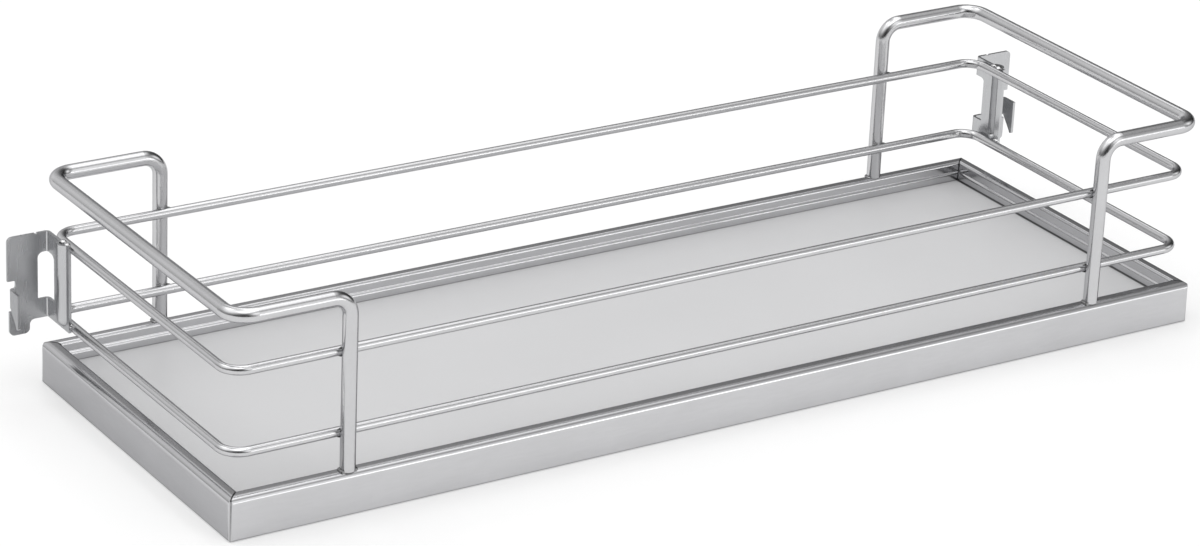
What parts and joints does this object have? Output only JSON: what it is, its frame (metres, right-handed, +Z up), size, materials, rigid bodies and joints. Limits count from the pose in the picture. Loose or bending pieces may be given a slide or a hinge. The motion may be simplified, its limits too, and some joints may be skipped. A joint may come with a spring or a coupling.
{
  "type": "hook-in wire tray for a pull-out pantry frame",
  "caption": "Shallow storage tray with a coated board in a mitred sheet-metal rim, wire gallery, end rails and folded hook brackets that hang it in a pull-out pantry frame.",
  "frame": {"origin": "centre of the tray's underside, on the plane that it stands on", "axes": "+X along the tray's length to the right end, +Y across the tray to the side with the hook brackets, +Z up"},
  "size_m": [0.5022, 0.166, 0.0947],
  "materials": {
    "rim": "satin silver coating on folded steel sheet",
    "wire": "satin silver coating on steel wire",
    "bracket": "zinc-plated pressed sheet, semi-bright",
    "weld": "coated weld metal",
    "board": "chipboard with a matt light grey melamine face"
  },
  "bodies": {
    "root": {"front_rim": "rim", "rear_rim": "rim", "left_rim": "rim", "right_rim": "rim", "corner_welds": "weld", "base_board": "board", "left_end_rail": "wire", "right_end_rail": "wire", "left_foot_welds": "weld", "right_foot_welds": "weld", "lower_wire_loop": "wire", "upper_wire_loop": "wire", "left_hook_bracket": "bracket", "right_hook_bracket": "bracket", "left_bracket_welds": "weld", "right_bracket_welds": "weld"}
  },
  "joints": []
}
